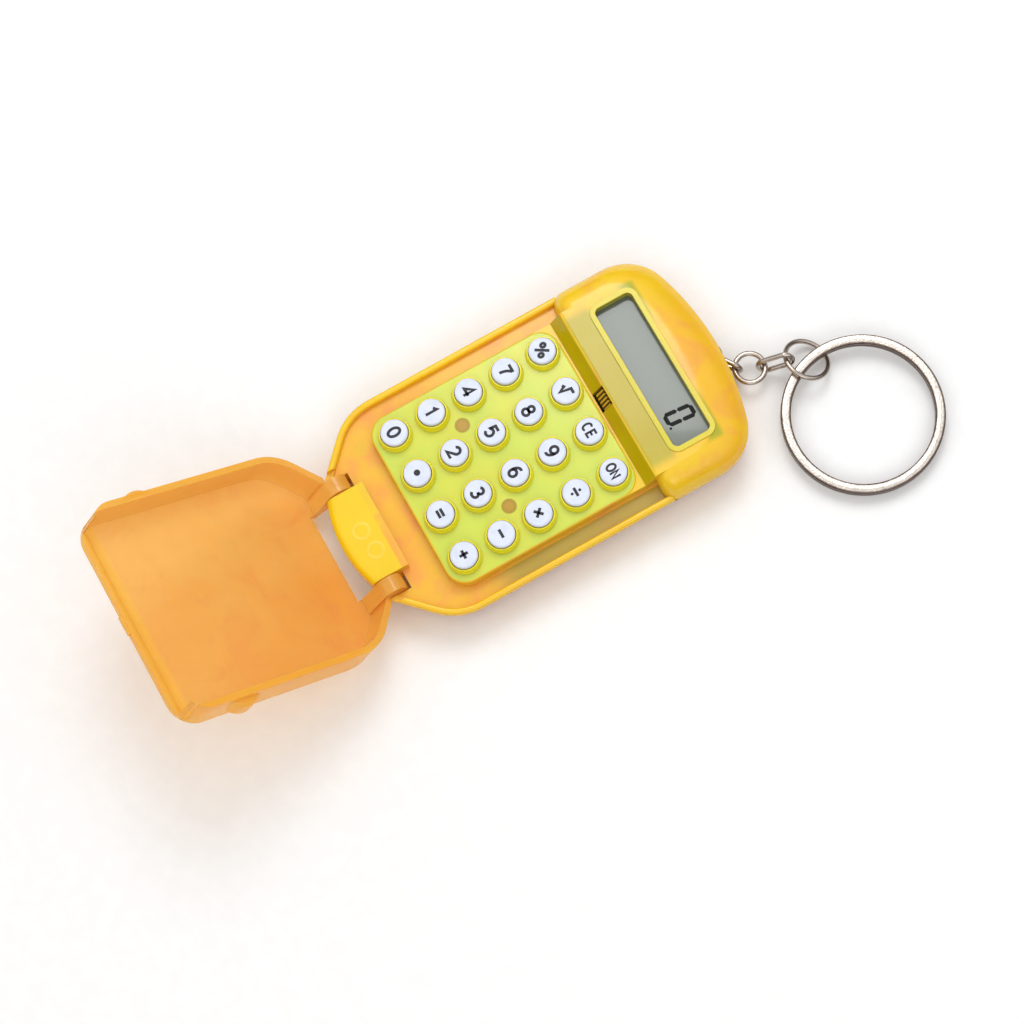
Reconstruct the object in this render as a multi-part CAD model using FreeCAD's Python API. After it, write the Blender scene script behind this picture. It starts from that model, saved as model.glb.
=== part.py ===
"""Key-ring pocket calculator with a flip-over cover, lying on its back with the cover open.

Millimetres. +Z comes out of the keys, +Y points from the hinge to the display, +X is the user's right.
The origin is the centre of the flat back. The cover is drawn shut, then turned to its open stop.
"""
import FreeCAD, Part
import math
import os

V = FreeCAD.Vector
EX = V(1, 0, 0)
EY = V(0, 1, 0)
EZ = V(0, 0, 1)

# ---- casing ----
BODY_WIDTH = 35.6
BODY_LENGTH = 59.6
WALL = 1.2
DRAFT = 0.25              # sideways lean of the walls per mm of height
CROWN_R = 42.0            # rounding of the whole display end, seen from above
END_CORNER_R = 7.5
TAPER_X = 7.6             # the two hinge corners are cut back by this much across
TAPER_Y = 7.3             # and by this much along
TAPER_R = 9.0
PART_Z = 2.0              # where the rear and front casings meet
FLOOR = 1.1
DECK_Z = 5.0
DECK_THICK = 1.1
LIP_HEIGHT = 1.2
LIP_THICK = 1.0
LIP_EDGE_R = 0.42
LIP_RELIEF = 1.2          # the lip is low this far out from the hinge notch, where the cover swings over it
BACK_EDGE_R = 0.8

# ---- keys ----
PITCH_X = 7.0
PITCH_Y = 6.14
COLUMNS = 4
ROWS = 5
KEY_R = 2.02
KEY_GAP = 0.1             # round each key in its bore
KEY_TOP_Z = 9.4
KEY_EDGE_R = 0.3
KEY_TRAVEL = 0.7
FLANGE_R = KEY_R + 0.33
FLANGE_THICK = 0.5
STEM_R = 1.15
PILL_R = STEM_R - 0.15
PILL_THICK = 0.4
FIRST_ROW_IN = 12.2       # from the hinge end of the body to the first row of keys
COLLAR_BASE_R = KEY_R + 0.58
COLLAR_TOP_R = KEY_R + 0.3
COLLAR_HEIGHT = 1.4

# ---- plateau over the keypad ----
PLATEAU_Z = 7.4
PLATEAU_ROOF = 1.3
PLATEAU_SIDE = 3.65       # from the outer key axes to the plateau's edge, across
PLATEAU_LOW = 3.4         # the same at the hinge end
PLATEAU_HIGH = 2.95       # the same at the display end
PLATEAU_CORNER_R = 3.2
PLATEAU_EDGE_R = 0.45
PLATEAU_WALL = 1.0

# ---- display hood ----
HOOD_Z = 9.2
HOOD_ROOF = 1.5
RIDGE_IN = 17.9           # from the display end back to the hood's ridge
SLOPE_RUN = 1.7
SLOPE_FOOT_Z = 7.1
SHOULDER_RUN = 3.8        # how far in the hood's sides begin to fall
NOSE_RUN = 6.7            # the same at the display end
EDGE_DROP = 3.0           # how far they fall
HOOD_FRONT_R = 2.2        # rounding of the hood's shoulders towards the keys
RIDGE_R = 0.8
WINDOW_W = 24.0
WINDOW_H = 6.1
WINDOW_IN = 10.45         # from the display end back to the window's centre
WINDOW_R = 0.9
BEZEL = 0.8
BEZEL_HEIGHT = 0.2
SLOT_W = 3.2
RIBBON_GAP = 0.1
SLOT_ROOF = 0.6           # left over the ribbon behind the ridge

# ---- inside ----
BOARD_THICK = 0.8
BOARD_GAP = 0.1           # under the deck
MAT_THICK = 0.7
MAT_HOLE_R = STEM_R + 0.35
DOME_R = MAT_HOLE_R + 0.7
PEG_HOLE_R = 1.15
GLASS_W = WINDOW_W + 3.0
GLASS_H = WINDOW_H + 2.4
GLASS_THICK = 1.6
CELL_R = 5.8
CELL_THICK = 3.05
STRIP_THICK = 0.15
STRIP_W = 3.0
RIBBON_THICK = 0.2
FIT = 0.1                 # clearance between pieces that seat on each other
BLOB_R = 4.2
BLOB_HEIGHT = 1.0

# ---- screws ----
SCREW_R = 0.7
SCREW_LENGTH = 3.1
SCREW_HEAD_R = 1.3
SCREW_HEAD_THICK = 0.9
SCREW_SUNK = 0.3          # the heads lie this far inside the back
SCREW_FIT = 0.05
PILLAR_R = SCREW_HEAD_R + 0.7
BOSS_R = SCREW_R + 0.9
PILLAR_TOP_Z = 2.6
LOW_SCREW = (12.3, 6.9)   # across from the middle, in from the hinge end
HIGH_SCREW = (9.0, 3.8)   # across from the middle, in from the display end

# ---- hinge ----
HINGE_OUT = 0.96          # the axis lies this far in from the hinge end
HINGE_Z = 5.2
OPEN_ANGLE = 143.2        # from shut to the open stop
NOTCH_W = 19.8
NOTCH_IN = 3.5
BLOCK_W = 14.2
BLOCK_Z = 6.9
BLOCK_FOOT_Z = 2.0
BLOCK_OUT = 2.5           # how far the block's middle stands out of the hinge end
BLOCK_CROWN_R = 20.0
BLOCK_EDGE_R = 1.3
EAR_GAP = 0.2
EAR_R = 2.1
STUB_R = 0.8
STUB_LENGTH = 2.0
STUB_FIT = 0.05
BORE_DEEPER = 0.3

# ---- flip cover ----
COVER_FIT = 0.2           # inside the lip and above the deck
COVER_WALL = 1.0
COVER_TOP_Z = KEY_TOP_Z + 1.8
COVER_PANEL = 1.1
COVER_EDGE_R = 1.1
COVER_CORNER_R = 4.0
COVER_TO_RIDGE = 0.9
COVER_END_Z = 9.4         # underside of the low wall next to the display hood
COVER_HINGE_EDGE = 1.2    # from the hinge axis to the panel's edge
PANEL_GAP = 1.6           # between the ears the panel's edge lies this much further from the axis
ARM_ROOT = 1.0            # how far the ears' arms run into the tray
GRIP_R = 3.2
GRIP_OUT = 1.1
GRIP_ABOVE = 0.3          # from the lip's top to the grips
GRIP_HEIGHT = 2.8
GRIP_IN = 9.6             # from the cover's free end to the grips
NIB_W = 3.0
NIB_OUT = 0.3

# ---- chain and rings ----
WIRE_R = 0.4
LINK_PLAY = 0.06
CHAIN_Z = 2.3
EYELET_WIRE_R = 0.38
EYELET_BEND_R = 1.55
EYELET_X = 0.5
EYELET_OUT = 0.7          # the arch's tip stands this far out of the display end
EYELET_HOLD = 2.0         # how deep its legs sit in the casings
POCKET_W = 2 * EYELET_BEND_R + 2.5
POCKET_DEEP = 1.9
POCKET_Z = (0.5, 4.1)
LINK_1_BEND_R = 1.15      # to the middle of the wire
LINK_1_REACH = 4.33       # between the middles of the wire at the link's two ends
LINK_1_YAW = 34.0         # from +X towards +Y
LINK_2_RING_R = 2.25
LINK_2_YAW = 72.0
LINK_2_DIP = 4.0
LINK_3_BEND_R = 1.15
LINK_3_PLAY = 0.15
LINK_3_REACH = 5.25
LINK_3_YAW = 70.0
LINK_3_ROLL = 68.0        # its plane leans this far out of level
JUMP_WIRE_R = 0.375
JUMP_RING_R = 3.35
JUMP_TILT = 29.0
RING_YAW = 14.4           # from the jump ring to the split ring
RING_DIP = 2.5            # the split ring's far side lies lower
RING_OUTER_R = 12.0
RING_WIRE_W = 1.5
RING_WIRE_THICK = 0.8
RING_TURN_GAP = 0.05
RING_OFFSET = 0.37        # the split ring's wire passes this far beyond the jump ring's middle
GROUND_GAP = 0.1

# ---- derived places ----
HALF_W = BODY_WIDTH / 2
HINGE_END = -BODY_LENGTH / 2
DISPLAY_END = BODY_LENGTH / 2
FIRST_ROW = HINGE_END + FIRST_ROW_IN
LAST_ROW = FIRST_ROW + (ROWS - 1) * PITCH_Y
PLATEAU_X = (COLUMNS - 1) / 2 * PITCH_X + PLATEAU_SIDE
PLATEAU_FROM = FIRST_ROW - PLATEAU_LOW
PLATEAU_TO = LAST_ROW + PLATEAU_HIGH
RIDGE = DISPLAY_END - RIDGE_IN
SLOPE_FOOT = RIDGE - SLOPE_RUN
KEYPAD_ROOF_Z = PLATEAU_Z - PLATEAU_ROOF
DECK_UNDER_Z = DECK_Z - DECK_THICK
LIP_Z = DECK_Z + LIP_HEIGHT
WINDOW_Y = DISPLAY_END - WINDOW_IN
GLASS_TOP_Z = HOOD_Z - HOOD_ROOF
BOARD_TOP_Z = DECK_UNDER_Z - BOARD_GAP
BOARD_UNDER_Z = BOARD_TOP_Z - BOARD_THICK
BOARD_TO = SLOPE_FOOT + 1.2
HINGE_Y = HINGE_END + HINGE_OUT
NOTCH_Y = HINGE_END + NOTCH_IN
COVER_FROM = HINGE_Y + COVER_HINGE_EDGE
COVER_TO = RIDGE - COVER_TO_RIDGE
COVER_INSET = LIP_THICK + COVER_FIT
COVER_HALF_W = HALF_W - COVER_INSET
COVER_RIM_Z = DECK_Z + COVER_FIT
GRIP_Z = (LIP_Z + GRIP_ABOVE, LIP_Z + GRIP_ABOVE + GRIP_HEIGHT)
CELL_Y = WINDOW_Y
CELL_Z = FLOOR + FIT + STRIP_THICK + FIT

KEY_NAMES = [
    ["0", "point", "equals", "plus"],
    ["1", "2", "3", "minus"],
    ["4", "5", "6", "times"],
    ["7", "8", "9", "divide"],
    ["percent", "root", "ce", "on"],
]


# ---- small helpers ----
def box(x0, x1, y0, y1, z0, z1):
    """A block between two corners."""
    return Part.makeBox(x1 - x0, y1 - y0, z1 - z0, V(x0, y0, z0))


def rod(radius, start, direction, length):
    """A cylinder from a point along a direction."""
    return Part.makeCylinder(radius, length, start, direction)


def fuse(shapes):
    """One solid of several."""
    whole = shapes[0]
    for shape in shapes[1:]:
        whole = whole.fuse(shape)
    return whole.removeSplitter()


def cut(shape, tools):
    """A shape less each tool."""
    for tool in tools:
        shape = shape.cut(tool)
    return shape.removeSplitter()


def fillet_where(shape, radius, wanted):
    """Round the edges that the test picks."""
    edges = [edge for edge in shape.Edges if wanted(edge)]
    return shape.makeFillet(radius, edges)


def is_upright(edge):
    """True for a straight edge along Z."""
    ends = edge.Vertexes
    if len(ends) != 2:
        return False
    step = ends[1].Point.sub(ends[0].Point)
    return abs(step.x) < 1e-4 and abs(step.y) < 1e-4


def lies_at(edge, z):
    """True for an edge that lies wholly at one height."""
    return abs(edge.BoundBox.ZMin - z) < 1e-4 and abs(edge.BoundBox.ZMax - z) < 1e-4


def rounded_block(x0, x1, y0, y1, z0, z1, radius):
    """A block with its upright edges rounded."""
    return fillet_where(box(x0, x1, y0, y1, z0, z1), radius, is_upright)


def profile_along_x(points, x0, x1):
    """A closed outline of (y, z) points drawn out along X."""
    corners = [V(x0, y, z) for y, z in points]
    face = Part.Face(Part.makePolygon(corners + corners[:1]))
    return face.extrude(V(x1 - x0, 0, 0))


def bent_strip(middle, thick, x0, x1):
    """A strip of even thickness along a bent middle line of (y, z) points."""
    sides = []
    for sign in (1, -1):
        side = []
        for index, (y, z) in enumerate(middle):
            before = middle[max(index - 1, 0)]
            after = middle[min(index + 1, len(middle) - 1)]
            first = math.atan2(z - before[1], y - before[0]) if index else None
            last = math.atan2(after[1] - z, after[0] - y) if index < len(middle) - 1 else first
            first = last if first is None else first
            half_turn = (last - first) / 2
            reach = sign * thick / 2 / math.cos(half_turn)
            heading = (first + last) / 2
            side.append((y - reach * math.sin(heading), z + reach * math.cos(heading)))
        sides.append(side)
    return profile_along_x(sides[0] + sides[1][::-1], x0, x1)


# ---- outlines shared by casings and cover ----
def body_outline():
    """The body's outline at deck height, as a flat face."""
    corners = [
        V(-HALF_W, DISPLAY_END, 0),
        V(-HALF_W, HINGE_END + TAPER_Y, 0),
        V(-HALF_W + TAPER_X, HINGE_END, 0),
        V(HALF_W - TAPER_X, HINGE_END, 0),
        V(HALF_W, HINGE_END + TAPER_Y, 0),
        V(HALF_W, DISPLAY_END, 0),
    ]
    slab = Part.Face(Part.makePolygon(corners + corners[:1])).extrude(EZ)
    crown = Part.makeCylinder(CROWN_R, 1, V(0, DISPLAY_END - CROWN_R, 0))
    slab = slab.common(crown)

    def is_end_corner(edge):
        return is_upright(edge) and edge.BoundBox.YMin > 0

    def is_taper_corner(edge):
        return is_upright(edge) and abs(edge.BoundBox.YMin - HINGE_END - TAPER_Y) < 0.01

    slab = fillet_where(slab, END_CORNER_R, is_end_corner)
    slab = fillet_where(slab, TAPER_R, is_taper_corner)
    floors = [face for face in slab.Faces if face.BoundBox.ZMax < 0.01]
    return floors[0]


OUTLINE = body_outline()


def outline_wire(inset, z):
    """The body's outline drawn in by some distance, at a height."""
    face = OUTLINE if inset == 0 else OUTLINE.makeOffset2D(-inset, 2)
    wire = face.OuterWire.copy()
    wire.translate(V(0, 0, z))
    return wire


def outline_slab(inset, z0, z1):
    """An upright slab of the outline drawn in by some distance."""
    return Part.Face(outline_wire(inset, z0)).extrude(V(0, 0, z1 - z0))


def lean(z):
    """How far the outer wall stands in from the outline at a height."""
    return max(DECK_Z - z, 0) * DRAFT


def leaning_slab(inset, z0, z1):
    """A slab whose sides follow the lean of the outer wall."""
    low = outline_wire(lean(z0) + inset, z0)
    high = outline_wire(lean(z1) + inset, z1)
    return Part.makeLoft([low, high], True, True)


def hood_wire(inset, top, drop):
    """The hood's outline where its surface lies some drop below its flat top."""
    def inward(run):
        radius = (run ** 2 + EDGE_DROP ** 2) / (2 * EDGE_DROP)
        return run - math.sqrt(drop * (2 * radius - drop))

    wire = outline_wire(inset + inward(SHOULDER_RUN), top - drop)
    wire.translate(V(0, inward(SHOULDER_RUN) - inward(NOSE_RUN), 0))
    return wire


def hood(inset):
    """The raised display hood above the deck, drawn in by some distance on every side."""
    low = DECK_UNDER_Z - 0.5 if inset else DECK_Z
    top = HOOD_Z - inset
    drops = [EDGE_DROP * share for share in (1.0, 0.8, 0.57, 0.34, 0.15, 0.04, 0.0)]
    crown = Part.makeLoft([hood_wire(inset, top, drop) for drop in drops], True, bool(inset))
    whole = outline_slab(inset, low, top - EDGE_DROP).fuse(crown)
    front = RIDGE + inset
    whole = whole.common(box(-HALF_W, HALF_W, front, DISPLAY_END, low, top)).removeSplitter()
    if inset:
        return whole

    def is_front_top(edge):
        return edge.BoundBox.YMax < front + 0.01 and edge.BoundBox.ZMax > top - EDGE_DROP + 0.01

    return fillet_where(whole, HOOD_FRONT_R, is_front_top)


def hood_front(inset):
    """The sloping front of the hood, between the plateau and the ridge."""
    half = PLATEAU_X - inset
    low = DECK_UNDER_Z - 0.5 if inset else DECK_Z
    ridge = RIDGE + inset * 0.5
    points = [
        (SLOPE_FOOT + inset * 1.3, low),
        (SLOPE_FOOT + inset * 1.3, SLOPE_FOOT_Z - inset * 0.4),
        (ridge, HOOD_Z - inset),
        (RIDGE + 3, HOOD_Z - inset),
        (RIDGE + 3, low),
    ]

    def is_ridge(edge):
        return lies_at(edge, HOOD_Z - inset) and edge.BoundBox.YMax < ridge + 0.01

    return fillet_where(profile_along_x(points, -half, half), RIDGE_R, is_ridge)


def key_places():
    """Each key's name, x and y."""
    places = []
    for row in range(ROWS):
        for column in range(COLUMNS):
            x = (column - (COLUMNS - 1) / 2) * PITCH_X
            places.append((KEY_NAMES[row][column], x, FIRST_ROW + row * PITCH_Y))
    return places


def screw_places():
    """Each case screw's x and y."""
    low_x, low_in = LOW_SCREW
    high_x, high_in = HIGH_SCREW
    return [
        (-low_x, HINGE_END + low_in),
        (low_x, HINGE_END + low_in),
        (-high_x, DISPLAY_END - high_in),
        (high_x, DISPLAY_END - high_in),
    ]


def notch(grow):
    """The gap in the hinge end that holds the block and the cover's ears."""
    half = NOTCH_W / 2 + grow
    return box(-half, half, HINGE_END - 9, NOTCH_Y + grow, -1, COVER_TOP_Z)


def ring_pocket():
    """The pocket in the display end round the wire eyelet."""
    half = POCKET_W / 2
    return box(EYELET_X - half, EYELET_X + half, DISPLAY_END - POCKET_DEEP, DISPLAY_END + 2, *POCKET_Z)


def eyelet_bores():
    """The two holes that hold the eyelet's legs."""
    start = DISPLAY_END - POCKET_DEEP - EYELET_HOLD - FIT
    bores = []
    for side in (-1, 1):
        foot = V(EYELET_X + side * EYELET_BEND_R, start, CHAIN_Z)
        bores.append(rod(EYELET_WIRE_R + SCREW_FIT, foot, EY, EYELET_HOLD + 1))
    return bores


def pocket_shell():
    """The block that closes the pocket off from the inside and holds the eyelet."""
    half = POCKET_W / 2 + WALL
    return box(EYELET_X - half, EYELET_X + half, DISPLAY_END - POCKET_DEEP - EYELET_HOLD - WALL / 2,
               DISPLAY_END + 2, FLOOR / 2, POCKET_Z[1] + WALL)


# ---- casings ----
def hinge_block():
    """The thick block that the cover turns on."""
    out = HINGE_END - BLOCK_OUT
    half = BLOCK_W / 2
    block = box(-half, half, out - 1, NOTCH_Y + WALL, BLOCK_FOOT_Z, BLOCK_Z)
    crown = Part.makeCylinder(BLOCK_CROWN_R, BLOCK_Z, V(0, out + BLOCK_CROWN_R, 0))
    block = block.common(crown)

    def is_outer_top(edge):
        return lies_at(edge, BLOCK_Z) and edge.BoundBox.YMax < HINGE_END

    block = fillet_where(block, BLOCK_EDGE_R, is_outer_top)
    depth = STUB_LENGTH + BORE_DEEPER
    for side in (-1, 1):
        start = V(side * (half + 1), HINGE_Y, HINGE_Z)
        block = block.cut(rod(STUB_R + STUB_FIT, start, V(-side, 0, 0), depth + 1 - EAR_GAP))
    return block


def plateau():
    """The raised field over the keypad, with a collar round every key."""
    low = DECK_Z - 0.2
    field = rounded_block(-PLATEAU_X, PLATEAU_X, PLATEAU_FROM, PLATEAU_TO, low, PLATEAU_Z, PLATEAU_CORNER_R)
    field = fillet_where(field, PLATEAU_EDGE_R, lambda edge: lies_at(edge, PLATEAU_Z))
    strip = box(-PLATEAU_X, PLATEAU_X, PLATEAU_TO - PLATEAU_CORNER_R, RIDGE + 1, low, SLOPE_FOOT_Z)
    collars = []
    for _, x, y in key_places():
        foot = V(x, y, PLATEAU_Z - 0.1)
        collars.append(Part.makeCone(COLLAR_BASE_R, COLLAR_TOP_R, COLLAR_HEIGHT + 0.1, foot))
    return fuse([field, strip] + collars)


def front_casing():
    """Rim, deck, plateau, display hood and hinge block in one moulding."""
    skirt = leaning_slab(0, PART_Z, DECK_Z)
    lip = outline_slab(0, DECK_Z, LIP_Z).cut(outline_slab(LIP_THICK, DECK_Z, LIP_Z))
    lip = fillet_where(lip, LIP_EDGE_R, lambda edge: lies_at(edge, LIP_Z))
    swing = NOTCH_W / 2 + LIP_RELIEF
    lip = cut(lip, [
        box(-HALF_W, HALF_W, RIDGE + 1, DISPLAY_END + 1, DECK_Z, LIP_Z),
        box(-swing, swing, HINGE_END - 1, COVER_FROM, DECK_Z + LIP_HEIGHT / 4, LIP_Z),
    ])
    shell = fuse([skirt, lip, hood(0), hood_front(0), plateau()])
    window = rounded_block(-WINDOW_W / 2, WINDOW_W / 2, WINDOW_Y - WINDOW_H / 2, WINDOW_Y + WINDOW_H / 2,
                           DECK_Z, HOOD_Z + 1, WINDOW_R)
    bezel = rounded_block(-WINDOW_W / 2 - BEZEL, WINDOW_W / 2 + BEZEL, WINDOW_Y - WINDOW_H / 2 - BEZEL,
                          WINDOW_Y + WINDOW_H / 2 + BEZEL, HOOD_Z - BEZEL, HOOD_Z + BEZEL_HEIGHT,
                          WINDOW_R + BEZEL)
    shell = fuse([shell, bezel])

    inside = leaning_slab(WALL, PART_Z - 0.5, DECK_UNDER_Z)
    hood_room = hood(WALL + 0.1).common(box(-HALF_W, HALF_W, RIDGE, DISPLAY_END, 0, GLASS_TOP_Z))
    front_room = hood_front(WALL).common(box(-HALF_W, HALF_W, SLOPE_FOOT, RIDGE + 4, 0, GLASS_TOP_Z))
    keypad_room = rounded_block(-PLATEAU_X + PLATEAU_WALL, PLATEAU_X - PLATEAU_WALL,
                                PLATEAU_FROM + PLATEAU_WALL, SLOPE_FOOT + 3, PART_Z, KEYPAD_ROOF_Z,
                                PLATEAU_CORNER_R - PLATEAU_WALL)
    keep = box(-HALF_W, HALF_W, NOTCH_Y + WALL, DISPLAY_END + 1, 0, HOOD_Z)
    seat_x = GLASS_W / 2 + FIT
    seat_y = GLASS_H / 2 + FIT
    glass_room = box(-seat_x, seat_x, WINDOW_Y - seat_y, WINDOW_Y + seat_y, PART_Z, GLASS_TOP_Z)
    rooms = [inside.common(keep), hood_room, front_room, keypad_room, glass_room]
    casing = cut(shell, rooms)

    bosses = []
    for x, y in screw_places():
        bosses.append(rod(BOSS_R, V(x, y, PILLAR_TOP_Z + FIT), EZ, LIP_Z - PILLAR_TOP_Z + 1))
    tall = outline_slab(LIP_THICK, PART_Z, HOOD_Z).common(hood(0).fuse(leaning_slab(0, PART_Z, DECK_Z)))
    bosses = [boss.common(tall) for boss in bosses]
    pocket_top = pocket_shell().common(leaning_slab(0, PART_Z, DECK_Z).fuse(hood(0)))
    pocket_top = pocket_top.common(box(-HALF_W, HALF_W, 0, DISPLAY_END + 1, PART_Z, HOOD_Z))
    casing = fuse([casing, pocket_top] + bosses)

    tools = [notch(0), window, ring_pocket()] + eyelet_bores()
    tools.append(box(-SLOT_W / 2, SLOT_W / 2, SLOPE_FOOT, RIDGE, DECK_Z, HOOD_Z + 1))
    tools.append(box(-SLOT_W / 2, SLOT_W / 2, RIDGE - 0.1, RIDGE + 1.6, DECK_Z, HOOD_Z - SLOT_ROOF))
    for _, x, y in key_places():
        tools.append(rod(KEY_R + KEY_GAP, V(x, y, DECK_Z), EZ, KEY_TOP_Z - DECK_Z))
    for x, y in screw_places():
        depth = SCREW_LENGTH + 0.3
        tools.append(rod(SCREW_R + SCREW_FIT, V(x, y, SCREW_SUNK + SCREW_HEAD_THICK), EZ, depth))
    casing = cut(casing, tools)
    return fuse([casing, hinge_block()])


def rear_casing():
    """A shallow tray with a screw pillar at each corner."""
    tray = leaning_slab(0, 0, PART_Z)
    tray = fillet_where(tray, BACK_EDGE_R, lambda edge: lies_at(edge, 0))
    keep = box(-HALF_W, HALF_W, NOTCH_Y + WALL, DISPLAY_END + 1, 0, HOOD_Z)
    tray = cut(tray, [leaning_slab(WALL, FLOOR, PART_Z + 0.5).common(keep)])
    pillars = [rod(PILLAR_R, V(x, y, FLOOR / 2), EZ, PILLAR_TOP_Z - FLOOR / 2) for x, y in screw_places()]
    room = leaning_slab(WALL + FIT, FLOOR / 2, PILLAR_TOP_Z)
    pillars = [pillar.common(room) for pillar in pillars]
    pocket_low = pocket_shell().common(leaning_slab(0, 0, PART_Z))
    tray = fuse([tray, pocket_low] + pillars)
    tools = [notch(0), ring_pocket()] + eyelet_bores()
    for x, y in screw_places():
        tools.append(rod(SCREW_HEAD_R + FIT, V(x, y, -1), EZ, 1 + SCREW_SUNK + SCREW_HEAD_THICK))
        tools.append(rod(SCREW_R + FIT, V(x, y, 0), EZ, PILLAR_TOP_Z + 1))
    return cut(tray, tools)


def case_screws():
    """Four pan-head screws with a cross recess."""
    screws = []
    for x, y in screw_places():
        head = rod(SCREW_HEAD_R, V(x, y, SCREW_SUNK), EZ, SCREW_HEAD_THICK)
        head = head.makeFillet(0.35, [edge for edge in head.Edges if lies_at(edge, SCREW_SUNK)])
        shank = rod(SCREW_R, V(x, y, SCREW_SUNK + 0.1), EZ, SCREW_LENGTH + SCREW_HEAD_THICK - 0.1)
        arm = SCREW_HEAD_R * 0.6
        slots = [
            box(x - arm, x + arm, y - 0.17, y + 0.17, 0, SCREW_SUNK + 0.45),
            box(x - 0.17, x + 0.17, y - arm, y + arm, 0, SCREW_SUNK + 0.45),
        ]
        screws.append(cut(fuse([head, shank]), slots))
    return Part.makeCompound(screws)


# ---- keypad ----
def key_cap(x, y):
    """A round cap with a flange that keeps it under the plateau and a stem for its pill."""
    flange_top = KEYPAD_ROOF_Z - 0.05
    cap = rod(KEY_R, V(x, y, flange_top - FLANGE_THICK), EZ, KEY_TOP_Z - flange_top + FLANGE_THICK)
    cap = cap.makeFillet(KEY_EDGE_R, [edge for edge in cap.Edges if lies_at(edge, KEY_TOP_Z)])
    flange = rod(FLANGE_R, V(x, y, flange_top - FLANGE_THICK), EZ, FLANGE_THICK)
    pill_top = pill_z() + PILL_THICK
    stem = rod(STEM_R, V(x, y, pill_top), EZ, flange_top - FLANGE_THICK - pill_top + 0.1)
    return fuse([cap, flange, stem])


def pill_z():
    """Underside of the contact pills, one key stroke above the board."""
    return BOARD_TOP_Z + KEY_TRAVEL + 0.02


def contact_pill(x, y):
    """The carbon disc under a key."""
    return rod(PILL_R, V(x, y, pill_z()), EZ, PILL_THICK)


def keypad_mat():
    """A rubber sheet on the board with a low dome ring round every stem and two round holes."""
    edge = PLATEAU_WALL + FIT
    sheet = rounded_block(-PLATEAU_X + edge, PLATEAU_X - edge, PLATEAU_FROM + edge, SLOPE_FOOT - FIT,
                          BOARD_TOP_Z, BOARD_TOP_Z + MAT_THICK, PLATEAU_CORNER_R - edge)
    flange_low = KEYPAD_ROOF_Z - 0.05 - FLANGE_THICK - KEY_TRAVEL
    domes = []
    stems = []
    for _, x, y in key_places():
        domes.append(rod(DOME_R, V(x, y, BOARD_TOP_Z), EZ, flange_low - 0.05 - BOARD_TOP_Z))
        stems.append(rod(MAT_HOLE_R, V(x, y, BOARD_TOP_Z - 1), EZ, 4))
    pegs = []
    for side in (-1, 1):
        pegs.append(rod(PEG_HOLE_R, V(side * PITCH_X, FIRST_ROW + 1.5 * PITCH_Y, BOARD_TOP_Z - 1), EZ, 4))
    return cut(fuse([sheet] + domes), stems + pegs)


# ---- electronics ----
def circuit_board():
    """The board under the keypad, cut back at its lower corners for the screw bosses."""
    half = HALF_W - lean(BOARD_UNDER_Z) - WALL - 3 * FIT
    low = PLATEAU_FROM - 0.2
    board = box(-half, half, low, BOARD_TO, BOARD_UNDER_Z, BOARD_TOP_Z)
    bosses = [rod(BOSS_R + 2 * FIT, V(x, y, 0), EZ, HOOD_Z) for x, y in screw_places()]
    board = board.common(leaning_slab(WALL + FIT, BOARD_UNDER_Z, BOARD_TOP_Z))
    return cut(board, bosses)


def chip_blob():
    """The epoxy dome over the chip, on the board's underside."""
    ball_r = (BLOB_R ** 2 + BLOB_HEIGHT ** 2) / (2 * BLOB_HEIGHT)
    middle = V(0, (FIRST_ROW + LAST_ROW) / 2, BOARD_UNDER_Z - BLOB_HEIGHT + ball_r)
    under = box(-BLOB_R, BLOB_R, middle.y - BLOB_R, middle.y + BLOB_R, 0, BOARD_UNDER_Z)
    return Part.makeSphere(ball_r, middle).common(under)


def lcd_glass():
    """Two bonded glass plates, the rear one longer at the ribbon's side."""
    y0 = WINDOW_Y - GLASS_H / 2
    y1 = WINDOW_Y + GLASS_H / 2
    z0 = GLASS_TOP_Z - FIT - GLASS_THICK
    rear = box(-GLASS_W / 2, GLASS_W / 2, y0, y1, z0, z0 + GLASS_THICK / 2)
    front = box(-GLASS_W / 2, GLASS_W / 2, y0 + 1.4, y1, z0 + GLASS_THICK / 2, z0 + GLASS_THICK)
    return fuse([rear, front])


def display_ribbon():
    """A striped film from the board up behind the hood's slope to the glass's ledge."""
    rise = (HOOD_Z - SLOPE_FOOT_Z) / SLOPE_RUN
    under = 0.45
    ledge_z = GLASS_TOP_Z - FIT - GLASS_THICK / 2 + RIBBON_GAP
    glass_from = WINDOW_Y - GLASS_H / 2
    middle = [
        (SLOPE_FOOT + 0.5, BOARD_TOP_Z + RIBBON_GAP),
        (SLOPE_FOOT + 0.5, SLOPE_FOOT_Z + 0.5 * rise - under),
        (RIDGE - 0.25, HOOD_Z - 0.25 * rise - under),
        (RIDGE + 0.5, HOOD_Z - HOOD_ROOF),
        (glass_from + 0.1, ledge_z),
        (glass_from + 1.2, ledge_z),
    ]
    half = SLOT_W / 2 - RIBBON_GAP
    return bent_strip(middle, RIBBON_THICK, -half, half)


def button_cell():
    """The cell, a wide can with a smaller cap."""
    can = rod(CELL_R, V(0, CELL_Y, CELL_Z + 0.5), EZ, CELL_THICK - 0.5)
    can = can.makeFillet(0.4, [edge for edge in can.Edges if lies_at(edge, CELL_Z + CELL_THICK)])
    cap = rod(CELL_R * 0.86, V(0, CELL_Y, CELL_Z), EZ, 0.6)
    return fuse([can, cap])


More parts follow.
